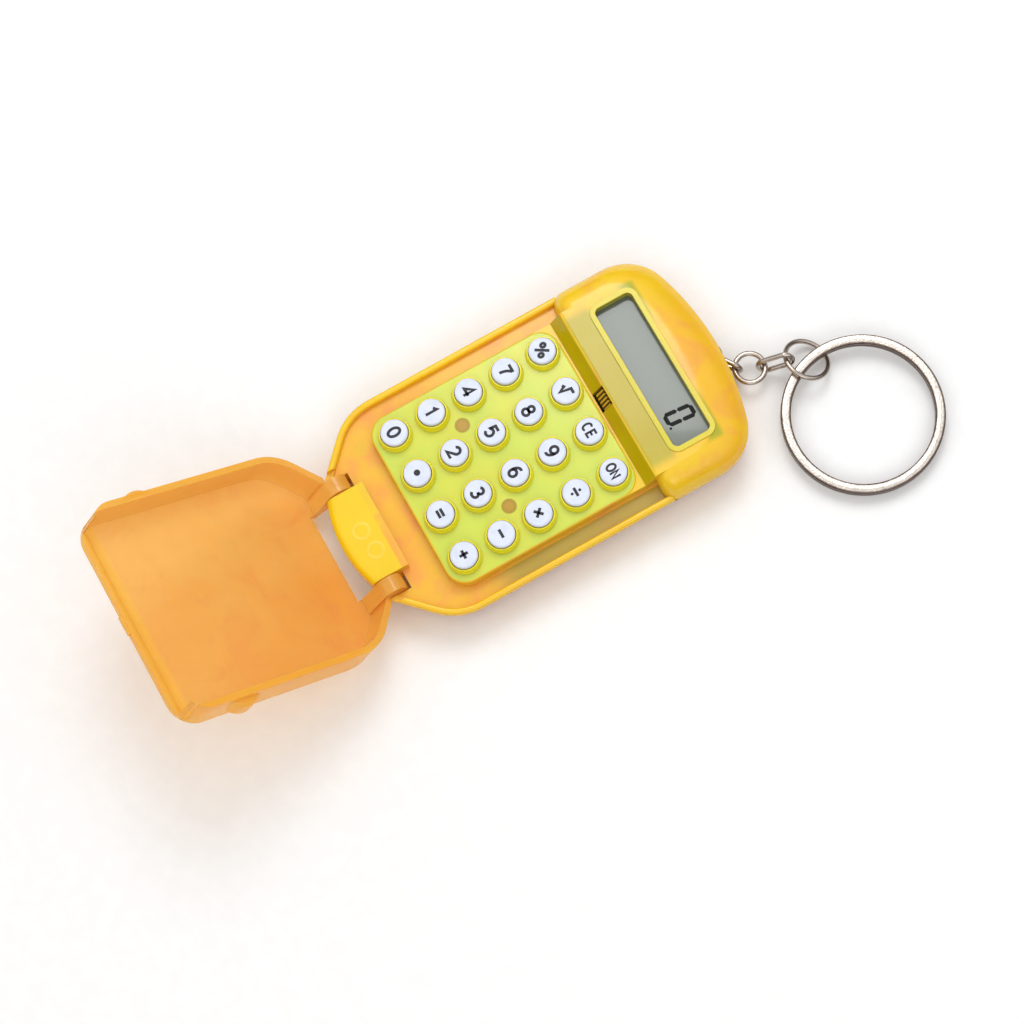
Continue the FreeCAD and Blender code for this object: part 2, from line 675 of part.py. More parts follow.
def battery_contact_plus():
    """The strip from the board to the top of the cell."""
    z = CELL_Z + CELL_THICK + FIT
    board_z = BOARD_TOP_Z + FIT
    edge = CELL_Y - CELL_R
    middle = [
        (SLOPE_FOOT + 0.8, board_z),
        (edge - 1.2, board_z),
        (edge - 0.4, z + STRIP_THICK / 2),
        (CELL_Y, z + STRIP_THICK / 2),
    ]
    return bent_strip(middle, STRIP_THICK, -SLOT_W - STRIP_W, -SLOT_W)


def battery_contact_minus():
    """The strip from under the board to the underside of the cell."""
    z = FLOOR + FIT + STRIP_THICK / 2
    board_z = BOARD_UNDER_Z - FIT
    edge = CELL_Y - CELL_R
    middle = [
        (SLOPE_FOOT + 0.8, board_z),
        (edge - 2.2, board_z),
        (edge - 0.9, z),
        (CELL_Y, z),
    ]
    return bent_strip(middle, STRIP_THICK, SLOT_W, SLOT_W + STRIP_W)


# ---- flip cover ----
def cover_shape(inset, z0, z1):
    """The cover's outline, shut, drawn in by some distance."""
    slab = outline_slab(COVER_INSET + inset, z0, z1)
    slab = slab.common(box(-HALF_W, HALF_W, COVER_FROM, COVER_TO - inset, z0, z1))

    def is_free_corner(edge):
        return is_upright(edge) and abs(edge.BoundBox.YMin - COVER_TO + inset) < 0.01

    return fillet_where(slab, COVER_CORNER_R - inset, is_free_corner)


def cover_ear(side):
    """An ear from the panel down to the hinge axis, with its stub."""
    inner = BLOCK_W / 2 + EAR_GAP
    outer = NOTCH_W / 2 - EAR_GAP
    x0, x1 = sorted((side * inner, side * outer))
    eye = rod(EAR_R, V(x0, HINGE_Y, HINGE_Z), EX, x1 - x0)
    shoulder = COVER_TOP_Z - COVER_PANEL / 2
    arm = profile_along_x([
        (HINGE_Y - EAR_R, HINGE_Z),
        (COVER_FROM - 0.2, shoulder),
        (COVER_FROM + ARM_ROOT, shoulder),
        (HINGE_Y + EAR_R, HINGE_Z),
    ], x0, x1)
    stub = rod(STUB_R, V(side * (inner + 0.5), HINGE_Y, HINGE_Z), V(-side, 0, 0), STUB_LENGTH + 0.5)
    return fuse([eye, arm, stub])


def cover_grip(side):
    """A low round bump for the fingernail."""
    centre = V(side * (COVER_HALF_W + GRIP_OUT - GRIP_R), COVER_TO - GRIP_IN, GRIP_Z[0])
    bump = rod(GRIP_R, centre, EZ, GRIP_Z[1] - GRIP_Z[0])
    bump = bump.makeFillet(0.5, [e for e in bump.Edges if lies_at(e, GRIP_Z[0]) or lies_at(e, GRIP_Z[1])])
    x0, x1 = sorted((side * (COVER_HALF_W - 0.5), side * (COVER_HALF_W + GRIP_OUT + 1)))
    return bump.common(box(x0, x1, centre.y - GRIP_R, centre.y + GRIP_R, 0, COVER_TOP_Z))


def turn_open(shape):
    """Turn a shape of the shut cover to the open stop."""
    shape.rotate(V(0, HINGE_Y, HINGE_Z), EX, OPEN_ANGLE)
    return shape


def flip_cover():
    """A thin tray that shuts over the keypad, with ears, stubs, grips and a latch nib."""
    shell = cover_shape(0, COVER_RIM_Z, COVER_TOP_Z)
    shell = fillet_where(shell, COVER_EDGE_R,
                         lambda e: lies_at(e, COVER_TOP_Z) and e.BoundBox.YMax > COVER_FROM + 0.01)
    room = outline_slab(COVER_INSET + COVER_WALL, COVER_RIM_Z - 1, COVER_TOP_Z - COVER_PANEL)
    room = room.common(box(-HALF_W, HALF_W, HINGE_END - 1, COVER_TO - COVER_WALL, 0, COVER_TOP_Z))
    low_end = box(-PLATEAU_X - 0.6, PLATEAU_X + 0.6, SLOPE_FOOT - 1.5, COVER_TO + 1, 0, COVER_END_Z)
    half = NOTCH_W / 2 - EAR_GAP
    mouth = box(-half, half, HINGE_END - 1, COVER_FROM + COVER_WALL + 0.5, 0, COVER_TOP_Z - COVER_PANEL)
    between = BLOCK_W / 2 + EAR_GAP
    gap = box(-between, between, HINGE_END - 1, COVER_FROM + PANEL_GAP, 0, COVER_TOP_Z + 1)
    shell = cut(shell, [room, low_end, mouth, gap])
    nib = box(-NIB_W / 2, NIB_W / 2, COVER_TO - 0.5, COVER_TO + NIB_OUT, COVER_END_Z + 0.2, COVER_END_Z + 0.8)
    pieces = [shell, nib]
    for side in (-1, 1):
        pieces += [cover_ear(side), cover_grip(side)]
    return turn_open(fuse(pieces))


# ---- chain and rings ----
def heading(yaw):
    """A level direction at an angle from +X."""
    return V(math.cos(math.radians(yaw)), math.sin(math.radians(yaw)), 0)


def loop(centre, along, across, straight, bend_r, wire_r):
    """A closed loop of round wire: two straights of a given length and two half-circle ends."""
    half = along * (straight / 2)
    wide = across * bend_r
    normal = along.cross(across)
    starts = [
        (centre - half + wide, centre + half + wide),
        (centre + half - wide, centre - half - wide),
    ]
    tips = [centre + half + along * bend_r, centre - half - along * bend_r]
    if straight == 0:
        return Part.makeTorus(bend_r, wire_r, centre, normal)
    edges = [
        Part.makeLine(*starts[0]),
        Part.Arc(starts[0][1], tips[0], starts[1][0]).toShape(),
        Part.makeLine(*starts[1]),
        Part.Arc(starts[1][1], tips[1], starts[0][0]).toShape(),
    ]
    path = Part.Wire(edges)
    section = Part.Wire([Part.makeCircle(wire_r, starts[0][0], along)])
    return path.makePipeShell([section], True, False, 2)


def chain_places():
    """The middle of every link and ring, and the ends where they hang in each other."""
    reach = 2 * WIRE_R + LINK_PLAY
    u1 = heading(LINK_1_YAW)
    arch = V(EYELET_X, DISPLAY_END + EYELET_OUT - EYELET_WIRE_R - EYELET_BEND_R, CHAIN_Z)
    near_1 = arch + u1 * (EYELET_BEND_R - EYELET_WIRE_R - WIRE_R - LINK_PLAY)
    far_1 = near_1 + u1 * LINK_1_REACH

    dip = math.radians(LINK_2_DIP)
    u2 = heading(LINK_2_YAW) * math.cos(dip) - EZ * math.sin(dip)
    v2 = EZ.cross(heading(LINK_2_YAW))
    middle_2 = far_1 + u2 * (LINK_2_RING_R - reach)
    turn = math.radians(LINK_3_YAW - LINK_2_YAW)
    toward_3 = u2 * math.cos(turn) + v2 * math.sin(turn)
    hook_2 = middle_2 + toward_3 * LINK_2_RING_R

    tilt = math.radians(JUMP_TILT)
    out = heading(RING_YAW)
    rising = V(out.y, -out.x, 0) * math.cos(tilt) + EZ * math.sin(tilt)
    jump_z = JUMP_RING_R * math.sin(tilt) + JUMP_WIRE_R + GROUND_GAP
    back = heading(LINK_3_YAW) * -1
    to_link = out * back.dot(out) + rising * back.dot(V(out.y, -out.x, 0))
    to_link.normalize()
    over_2 = 2 * WIRE_R + LINK_3_PLAY
    over_j = WIRE_R + JUMP_WIRE_R + LINK_3_PLAY
    span = LINK_3_REACH - over_2 - over_j
    climb = jump_z + to_link.z * JUMP_RING_R - hook_2.z
    step = heading(LINK_3_YAW) * math.sqrt(span ** 2 - climb ** 2) + EZ * climb
    hook_j = hook_2 + step
    middle_j = hook_j - to_link * JUMP_RING_R
    u3 = step * (1 / span)
    near_3 = hook_2 - u3 * over_2
    far_3 = hook_j + u3 * over_j

    lower = math.radians(RING_DIP)
    ring_out = out * math.cos(lower) - EZ * math.sin(lower)
    ring_mid_r = RING_OUTER_R - RING_WIRE_W / 2
    return {
        "arch": arch, "near_1": near_1, "far_1": far_1, "u1": u1, "u2": u2, "v2": v2,
        "middle_2": middle_2, "toward_3": toward_3, "hook_2": hook_2, "near_3": near_3,
        "u3": u3, "hook_j": hook_j, "far_3": far_3,
        "middle_j": middle_j, "out": out, "rising": rising, "to_link": to_link,
        "ring_out": ring_out, "ring_centre": middle_j + ring_out * (ring_mid_r + RING_OFFSET),
    }


CHAIN = chain_places()


def ring_eyelet():
    """A bent wire arch whose two legs sit in the display end."""
    arch = CHAIN["arch"]
    side = EX * EYELET_BEND_R
    foot_y = DISPLAY_END - POCKET_DEEP - EYELET_HOLD
    leg = EY * (arch.y - foot_y)
    edges = [
        Part.makeLine(arch - side - leg, arch - side),
        Part.Arc(arch - side, arch + EY * EYELET_BEND_R, arch + side).toShape(),
        Part.makeLine(arch + side, arch + side - leg),
    ]
    section = Part.Wire([Part.makeCircle(EYELET_WIRE_R, arch - side - leg, EY)])
    return Part.Wire(edges).makePipeShell([section], True, False, 2)


def oval_link(near, far, across, bend_r):
    """An oval link between the middles of the wire at its two ends."""
    along = far.sub(near)
    reach = along.Length
    along.normalize()
    return loop((near + far) * 0.5, along, across, reach - 2 * bend_r, bend_r, WIRE_R)


def chain_link_1():
    """The upright link in the eyelet."""
    return oval_link(CHAIN["near_1"], CHAIN["far_1"], EZ, LINK_1_BEND_R)


def chain_link_2():
    """The almost level round link."""
    return loop(CHAIN["middle_2"], CHAIN["u2"], CHAIN["v2"], 0, LINK_2_RING_R, WIRE_R)


def link_3_across():
    """The direction across the third link, leaning out of level."""
    level = EZ.cross(CHAIN["u3"])
    level.normalize()
    roll = math.radians(LINK_3_ROLL)
    return level * math.cos(roll) + CHAIN["u3"].cross(level) * math.sin(roll)


def chain_link_3():
    """The leaning link between the round link and the jump ring."""
    return oval_link(CHAIN["near_3"], CHAIN["far_3"], link_3_across(), LINK_3_BEND_R)


def jump_ring():
    """The tilted ring that joins chain and split ring."""
    return Part.makeTorus(JUMP_RING_R, JUMP_WIRE_R, CHAIN["middle_j"], CHAIN["out"].cross(CHAIN["rising"]))


def split_ring():
    """Two flat turns of spring wire, joined where the wire steps from one turn to the other."""
    inner = RING_OUTER_R - RING_WIRE_W
    turns = []
    for low in (RING_TURN_GAP / 2, -RING_TURN_GAP / 2 - RING_WIRE_THICK):
        turn = rod(RING_OUTER_R, EZ * low, EZ, RING_WIRE_THICK)
        turn = turn.cut(rod(inner, EZ * low, EZ, RING_WIRE_THICK))
        turns.append(turn.makeFillet(0.25, [edge for edge in turn.Edges if edge.Length > RING_OUTER_R]))
    middle = RING_OUTER_R - RING_WIRE_W / 2
    half = RING_WIRE_W / 2 - 0.3
    step = box(middle - half, middle + half, -1.2, 1.2, -RING_WIRE_THICK / 2, RING_WIRE_THICK / 2)
    ring = fuse(turns + [step])
    ring.rotate(V(0, 0, 0), EY, RING_DIP)
    ring.rotate(V(0, 0, 0), EZ, RING_YAW)
    ring.translate(CHAIN["ring_centre"])
    return ring


# ---- build ----
def all_parts():
    """Every node's shape by name."""
    parts = {
        "front_casing": front_casing(),
        "rear_casing": rear_casing(),
        "flip_cover": flip_cover(),
        "keypad_mat": keypad_mat(),
        "circuit_board": circuit_board(),
        "chip_blob": chip_blob(),
        "lcd_glass": lcd_glass(),
        "display_ribbon": display_ribbon(),
        "button_cell": button_cell(),
        "battery_contact_plus": battery_contact_plus(),
        "battery_contact_minus": battery_contact_minus(),
        "case_screws": case_screws(),
        "ring_eyelet": ring_eyelet(),
        "chain_link_1": chain_link_1(),
        "chain_link_2": chain_link_2(),
        "chain_link_3": chain_link_3(),
        "jump_ring": jump_ring(),
        "split_ring": split_ring(),
    }
    for name, x, y in key_places():
        parts["key_" + name] = key_cap(x, y)
        parts["pill_" + name] = contact_pill(x, y)
    return parts


os.makedirs("parts", exist_ok=True)
for node, shape in all_parts().items():
    print(node, "solids", len(shape.Solids), "volume", round(shape.Volume, 3), "valid", shape.isValid())
    shape.exportStep("parts/" + node + ".step")
for place, point in CHAIN.items():
    print(place, [round(value, 4) for value in (point.x, point.y, point.z)])
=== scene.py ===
"""Looks for the key-ring calculator: tinted clear casing and cover, printed keys, display, chain."""
import math

import bmesh
import bpy
from mathutils import Matrix, Vector


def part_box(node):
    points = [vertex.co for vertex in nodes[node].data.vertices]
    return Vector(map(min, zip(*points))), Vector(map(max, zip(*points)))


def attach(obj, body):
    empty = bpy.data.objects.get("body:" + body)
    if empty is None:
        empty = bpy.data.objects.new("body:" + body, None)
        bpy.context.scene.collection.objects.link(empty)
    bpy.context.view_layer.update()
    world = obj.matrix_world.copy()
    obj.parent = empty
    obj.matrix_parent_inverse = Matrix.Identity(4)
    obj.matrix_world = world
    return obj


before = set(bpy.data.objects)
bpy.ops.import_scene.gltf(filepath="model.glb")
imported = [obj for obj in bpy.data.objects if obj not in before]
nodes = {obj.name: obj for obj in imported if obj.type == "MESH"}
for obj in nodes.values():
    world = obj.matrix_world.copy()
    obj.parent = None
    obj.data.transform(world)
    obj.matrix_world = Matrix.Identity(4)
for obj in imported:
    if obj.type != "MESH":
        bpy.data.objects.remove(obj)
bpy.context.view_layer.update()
MM = 0.001
PLASTIC_IOR = 1.49
EDGE_RADIUS = 0.12            # how far every edge is rounded in shading, in millimetres


# ---------------------------------------------------------------- shader arithmetic
class Socket:
    """A shader output that can be used in sums."""

    def __init__(self, finish, link):
        self.finish = finish
        self.link = link

    def math(self, operation, *others):
        return self.finish.node("Math", {"operation": operation}, dict(enumerate((self,) + others)))

    def __add__(self, other):
        return self.math("ADD", other)

    __radd__ = __add__

    def __mul__(self, other):
        return self.math("MULTIPLY", other)

    __rmul__ = __mul__

    def __sub__(self, other):
        return self.math("SUBTRACT", other)

    def __rsub__(self, other):
        return self.finish.node("Math", {"operation": "SUBTRACT"}, {0: other, 1: self})

    def __pow__(self, other):
        return self.math("POWER", other)

    def __abs__(self):
        return self.math("ABSOLUTE")

    def least(self, other):
        return self.math("MINIMUM", other)

    def most(self, other):
        return self.math("MAXIMUM", other)

    def wave(self):
        return self.math("SINE")

    def step(self, low, high):
        """0 below low, 1 above high, smooth between."""
        ranges = {"From Min": low, "From Max": high, "To Min": 0.0, "To Max": 1.0, "Value": self}
        return self.finish.node("MapRange", {"interpolation_type": "SMOOTHSTEP"}, ranges)


class Finish:
    """A node material built from expressions."""

    def __init__(self, name):
        self.material = bpy.data.materials.new(name)
        self.material.use_nodes = True
        self.tree = self.material.node_tree
        self.tree.nodes.clear()
        self.output = self.tree.nodes.new("ShaderNodeOutputMaterial")
        place = self.tree.nodes.new("ShaderNodeTexCoord")
        self.place = Socket(self, place.outputs["Object"])
        split = self.tree.nodes.new("ShaderNodeSeparateXYZ")
        self.tree.links.new(place.outputs["Object"], split.inputs[0])
        self.x, self.y, self.z = [Socket(self, split.outputs[i]) * 1000.0 for i in range(3)]

    def node(self, kind, settings, values, output=0):
        made = self.tree.nodes.new("ShaderNode" + kind)
        for key, setting in settings.items():
            setattr(made, key, setting)
        for key, value in values.items():
            slot = made.inputs[key]
            if isinstance(value, Socket):
                self.tree.links.new(value.link, slot)
            else:
                slot.default_value = value
        return Socket(self, made.outputs[output])

    def mix(self, share, first, second):
        """One colour over another by a share."""
        first, second = [c if isinstance(c, Socket) else tuple(c) + (1.0,) for c in (first, second)]
        return self.node("Mix", {"data_type": "RGBA"}, {0: share, 6: first, 7: second}, 2)

    def stretch(self, factors):
        """The object's own coordinates, in millimetres, scaled along each axis."""
        scale = tuple(f * 1000.0 for f in factors)
        return self.node("VectorMath", {"operation": "MULTIPLY"}, {0: self.place, 1: scale})

    def noise(self, size, detail=3.0, roughness=0.5, along=(1, 1, 1), distortion=0.0):
        """Cloudy noise whose blotches are about size millimetres across."""
        values = {"Vector": self.stretch([a / size for a in along]), "Scale": 1.0, "Detail": detail,
                  "Roughness": roughness, "Distortion": distortion}
        return self.node("TexNoise", {}, values)

    def bump(self, height, strength, distance):
        """A surface relief, its distance in millimetres."""
        edge = self.node("Bevel", {"samples": 4}, {"Radius": EDGE_RADIUS * MM})
        values = {"Height": height, "Strength": strength, "Distance": distance * MM, "Normal": edge}
        return self.node("Bump", {}, values)

    def surface(self, values):
        return self.node("BsdfPrincipled", {}, values)

    def close(self, shader):
        self.tree.links.new(shader.link, self.output.inputs["Surface"])
        return self.material


def band(value, rise, fall):
    """1 between two soft edges and 0 outside them, each edge a low and a high value."""
    return value.step(*rise) * (1.0 - value.step(*fall))


def reach(dx, dy):
    """Distance from an upright line, given the offsets from it."""
    return (dx * dx + dy * dy) ** 0.5


def linear(r, g, b):
    """A screen colour of 0 to 255 as shader colour."""
    parts = [c / 255.0 for c in (r, g, b)]
    return tuple(c / 12.92 if c <= 0.04045 else ((c + 0.055) / 1.055) ** 2.4 for c in parts)


# ---------------------------------------------------------------- places taken from the frame
def corners(node):
    low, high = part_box(node)
    return low * 1000.0, high * 1000.0


glass_low, glass_high = corners("lcd_glass")
mat_low, mat_high = corners("keypad_mat")
ribbon_low, ribbon_high = corners("display_ribbon")
COVER_HALF = corners("flip_cover")[1].x
GLASS_Y = (glass_low.y + glass_high.y) / 2
HINGE_Y, HINGE_Z = -28.84, 5.2
COVER_COS, COVER_SIN = 0.8007, 0.599    # how the open cover leans
PLATEAU_MARGIN = 1.1          # the plateau's edge beyond the mat
HOOD_START = 1.8              # the display hood's foot beyond the mat
WINDOW_REACH = (13.6, 4.2)    # half the display opening, with its walls
BLOCK_HALF = 7.2              # half the hinge block's width
BLOCK_MARKS = ((-0.6, -28.7), (2.9, -28.2))
MARK_R = 1.15
KEY_SIGNS = {
    "0": "0", "point": "point", "equals": "=", "plus": "+",
    "1": "1", "2": "2", "3": "3", "minus": "minus",
    "4": "4", "5": "5", "6": "6", "times": "times", "7": "7", "8": "8", "9": "9", "divide": "divide",
    "percent": "percent", "root": "root", "ce": "CE", "on": "ON",
}


def key_middle(name):
    low, high = corners("key_" + name)
    return (low.x + high.x) / 2, (low.y + high.y) / 2, high.z


SECOND_KEY, THIRD_KEY, FIFTH_KEY = key_middle("1"), key_middle("2"), key_middle("5")


# ---------------------------------------------------------------- finishes
def tinted_base(name, body, shade, light, patch):
    """The uneven colour of clear moulded plastic, and the clouds in it."""
    finish = Finish(name)
    clouds = finish.noise(7.0, 3.0, 0.55, distortion=0.6)
    drift = finish.noise(16.0, 2.0, 0.5, along=(1, 0.6, 1))
    base = finish.mix(drift.step(0.35, 0.65), body, shade)
    base = finish.mix(clouds.step(0.5, 0.72) * 0.7, base, patch)
    base = finish.mix(finish.noise(3.2, 4.0, 0.6).step(0.58, 0.8) * 0.6, base, light)
    return finish, base, clouds


def clear_gloss(finish, base, rough, relief, coat=(0.35, 0.06), inner=0.25, green=0.5):
    """A glossy tinted surface that light spreads in a little; coat is its weight and roughness."""
    return finish.surface({
        "Base Color": base, "Roughness": rough, "IOR": PLASTIC_IOR, "Coat Weight": coat[0],
        "Coat Roughness": coat[1], "Normal": relief, "Subsurface Weight": inner,
        "Subsurface Radius": (1.0, green, 0.1), "Subsurface Scale": 2.0 * MM,
    })


def let_through(finish, share, gloss, clear):
    """The gloss, with a share of the light going straight through in the clear colour."""
    straight = finish.node("BsdfTransparent", {}, {"Color": tuple(clear) + (1.0,)})
    return finish.close(finish.node("MixShader", {}, {0: share, 1: gloss, 2: straight}))


def casing_plastic():
    """Yellow casing: orange rim, lime plateau over the pale mat, painted olive shade on the slope
    before the display, the hood's front, the display opening's walls and the gutter.
    """
    finish, base, _ = tinted_base("casing_yellow", linear(255, 212, 34), linear(255, 198, 44),
                                  linear(255, 226, 60), linear(255, 174, 74))
    across = abs(finish.x)
    past_mat = finish.y - mat_high.y
    inside_plateau = (mat_high.x + PLATEAU_MARGIN) - across

    deck = band(finish.z, (4.6, 4.9), (5.15, 5.5))
    cloudy = finish.noise(4.5, 3.0, 0.6).step(0.4, 0.7)
    blush = finish.mix(cloudy, linear(252, 196, 52), linear(255, 172, 76))
    base = finish.mix(deck * 0.85, base, blush)
    rim = band(finish.z, (5.6, 6.0), (6.2, 6.6))
    base = finish.mix(rim * 0.5, base, linear(255, 206, 20))

    from_low = finish.y - (mat_low.y - PLATEAU_MARGIN)
    to_high = (mat_high.y + 0.1) - finish.y
    on_plateau = inside_plateau.step(-0.1, 0.25) * from_low.step(-0.1, 0.25)
    on_plateau = on_plateau * to_high.step(-0.1, 0.2) * finish.z.step(7.25, 7.38)
    flat_top = on_plateau * (1.0 - finish.z.step(7.42, 7.7))
    lime = finish.mix(finish.noise(6.0, 2.0).step(0.3, 0.7), linear(204, 220, 80), linear(216, 220, 70))
    base = finish.mix(flat_top, base, lime)
    collar = on_plateau * finish.z.step(7.5, 7.8)
    base = finish.mix(collar, base, linear(255, 236, 24))

    peg_x, peg_y = (SECOND_KEY[0] + THIRD_KEY[0]) / -2, (SECOND_KEY[1] + FIFTH_KEY[1]) / 2
    peg = reach(across - peg_x, finish.y - peg_y)
    base = finish.mix((1.0 - peg.step(1.0, 1.25)) * flat_top, base, linear(172, 142, 22))
    base = finish.mix((1.0 - peg.step(0.5, 0.9)) * flat_top * 0.6, base, linear(196, 150, 40))

    # Painted shade: darker olive on the step just past the mat, where the wall below the display lies
    # in shade.
    slope = band(past_mat, (-0.1, 0.1), (1.6, 1.9)) * inside_plateau.step(-0.1, 0.1)
    base = finish.mix(slope * finish.z.step(5.5, 6.2) * 0.9, base, linear(186, 168, 6))
    # Painted shade: darker olive across the hood's front ramp.
    brow_shade = band(past_mat - HOOD_START, (0.0, 0.3), (3.4, 4.6))
    brow_shade = brow_shade * (13.5 - across).step(-0.5, 1.5) * finish.z.step(8.6, 9.1)
    base = finish.mix(brow_shade * 0.85, base, linear(186, 178, 44))

    window = (WINDOW_REACH[0] - across).step(-0.4, 0.6)
    window = window * (WINDOW_REACH[1] - abs(finish.y - GLASS_Y)).step(-0.4, 0.5)
    # Painted shade: the display opening's inner walls darker olive, as a recess in shade.
    walls = window * band(finish.z, (7.3, 7.6), (9.12, 9.2))
    base = finish.mix(walls, base, linear(186, 186, 40))
    bezel = window * finish.z.step(9.22, 9.32)
    base = finish.mix(bezel * 0.8, base, linear(226, 214, 40))

    # Painted shade: a grey-olive band in the gap beside the plateau on the +x side.
    gutter_shade = (finish.x - (mat_high.x + 1.15)).step(0.0, 0.4) * band(finish.z, (4.6, 4.9), (5.1, 5.3))
    gutter_shade = gutter_shade * (finish.y - mat_low.y).step(2.0, 9.0)
    base = finish.mix(gutter_shade * 0.85, base, linear(176, 162, 60))

    block = (BLOCK_HALF - across).step(-0.1, 0.2) * (1.0 - (finish.y - HINGE_Y).step(2.6, 2.9))
    block = block * finish.z.step(5.4, 6.2)
    base = finish.mix(block * 0.9, base, linear(255, 216, 12))
    marks = 0.0
    for mark_x, mark_y in BLOCK_MARKS:
        to_mark = reach(finish.x - mark_x, finish.y - mark_y)
        marks = (1.0 - abs(to_mark - MARK_R).step(0.05, 0.3)) * block + marks
    base = finish.mix(marks * 0.35, base, linear(255, 232, 110))

    pores = finish.noise(0.5, 4.0, 0.6)
    ripples = finish.noise(2.4, 2.0, 0.5)
    relief = finish.bump(pores + ripples + marks * 2.0, 0.15, 0.04)
    rough = pores * 0.16 + 0.1
    gloss = clear_gloss(finish, base, rough, relief, coat=(0.12, 0.05), inner=0.3, green=0.6)
    share = (1.0 - on_plateau) * 0.08 + finish.noise(5.0, 3.0) * 0.1
    return let_through(finish, share, gloss, linear(255, 230, 110))


def rear_plastic():
    """The rear tray, the same plastic, a little deeper in colour."""
    finish, base, clouds = tinted_base("casing_amber", linear(250, 184, 30), linear(246, 160, 30),
                                       linear(255, 208, 60), linear(246, 146, 60))
    pores = finish.noise(0.5, 4.0, 0.6)
    relief = finish.bump(pores + clouds * 0.5, 0.12, 0.03)
    gloss = clear_gloss(finish, base, pores * 0.14 + 0.1, relief)
    return let_through(finish, clouds * 0.12 + 0.24, gloss, linear(255, 205, 60))


def cover_plastic():
    """The orange see-through cover: peach panel, golden walls and edges."""
    finish, base, clouds = tinted_base("cover_orange", linear(255, 206, 116), linear(255, 192, 100),
                                       linear(255, 212, 140), linear(255, 184, 108))
    along = (finish.y - HINGE_Y) * -COVER_COS + (finish.z - HINGE_Z) * COVER_SIN
    depth = (finish.y - HINGE_Y) * -COVER_SIN + (finish.z - HINGE_Z) * -COVER_COS
    walls = 1.0 - depth.step(4.5, 4.95)
    edges = abs(finish.x).step(COVER_HALF - 2.4, COVER_HALF - 1.7).most(along.step(36.6, 37.4))
    golden = walls.most(edges)
    base = finish.mix(walls * 0.75, base, linear(255, 190, 74))
    base = finish.mix(edges * (1.0 - walls * 0.5) * 0.6, base, linear(255, 204, 50))
    pores = finish.noise(0.5, 4.0, 0.6)
    gloss = clear_gloss(finish, base, pores * 0.14 + 0.1, finish.bump(pores, 0.12, 0.03))
    share = (clouds * 0.12 + 0.56) * (1.0 - golden * 0.3)
    return let_through(finish, share, gloss, linear(255, 230, 176))


def key_plastic():
    """White key caps with a faint moulded grain, and painted shade on their sides below the top."""
    finish = Finish("key_white")
    grain = finish.noise(0.25, 4.0, 0.6)
    clouds = finish.noise(1.6, 2.0).step(0.35, 0.75)
    base = finish.mix(clouds, linear(220, 226, 242), linear(210, 218, 234))
    # Painted shade: the key's sides below the top darker and yellower, standing in the collar's bore.
    base = finish.mix((finish.z - 8.9).step(-0.5, 0.3), linear(200, 200, 170), base)
    return finish.close(finish.surface({
        "Base Color": base, "Roughness": grain * 0.15 + 0.32, "Normal": finish.bump(grain, 0.15, 0.02),
        "Subsurface Weight": 0.1, "Subsurface Radius": (0.6, 0.6, 0.6), "Subsurface Scale": 0.5 * MM,
    }))


def legend_ink():
    """Pad-printed ink, a little uneven."""
    finish = Finish("legend_ink")
    speck = finish.noise(0.15, 4.0, 0.7)
    base = finish.mix(speck.step(0.4, 0.8), linear(14, 14, 26), linear(40, 40, 56))
    return finish.close(finish.surface({
        "Base Color": base, "Roughness": speck * 0.2 + 0.4, "Normal": finish.bump(speck, 0.1, 0.01)}))


def mat_rubber():
    """Pale silicone rubber."""
    finish = Finish("mat_rubber")
    grain = finish.noise(0.4, 4.0, 0.6)
    base = finish.mix(finish.noise(5.0).step(0.3, 0.7), linear(236, 240, 150), linear(226, 232, 130))
    return finish.close(finish.surface({
        "Base Color": base, "Roughness": grain * 0.2 + 0.6, "Normal": finish.bump(grain, 0.3, 0.03)}))


def carbon_rubber():
    """Black conductive pill."""
    finish = Finish("carbon_pill")
    grain = finish.noise(0.2, 5.0, 0.7)
    base = finish.mix(grain.step(0.3, 0.8), linear(24, 24, 24), linear(52, 50, 48))
    return finish.close(finish.surface({
        "Base Color": base, "Roughness": grain * 0.2 + 0.7, "Normal": finish.bump(grain, 0.4, 0.02)}))


def board_mask():
    """Solder mask with copper tracks and bare pads under it."""
    finish = Finish("board_mask")
    tracks = abs((finish.y * 2.6 + finish.noise(6.0, 0.0) * 9.0).wave()).step(0.2, 0.35)
    lanes = abs((finish.x * 2.2 + finish.noise(9.0, 0.0) * 7.0).wave()).step(0.15, 0.3)
    copper = 1.0 - tracks * lanes
    base = finish.mix(copper * 0.7, linear(96, 92, 30), linear(150, 128, 50))
    fibre = (finish.x * 14.0).wave() * (finish.y * 14.0).wave()
    return finish.close(finish.surface({
        "Base Color": base, "Roughness": finish.noise(0.8) * 0.2 + 0.35,
        "Normal": finish.bump(copper + fibre * 0.1, 0.4, 0.04)}))


def cast_epoxy():
    """Glossy black potting resin."""
    finish = Finish("cast_epoxy")
    swirl = finish.noise(1.5, 3.0, 0.5, distortion=1.0)
    base = finish.mix(swirl.step(0.3, 0.8), linear(16, 15, 14), linear(38, 34, 30))
    return finish.close(finish.surface({
        "Base Color": base, "Roughness": swirl * 0.2 + 0.15, "Normal": finish.bump(swirl, 0.3, 0.05)}))


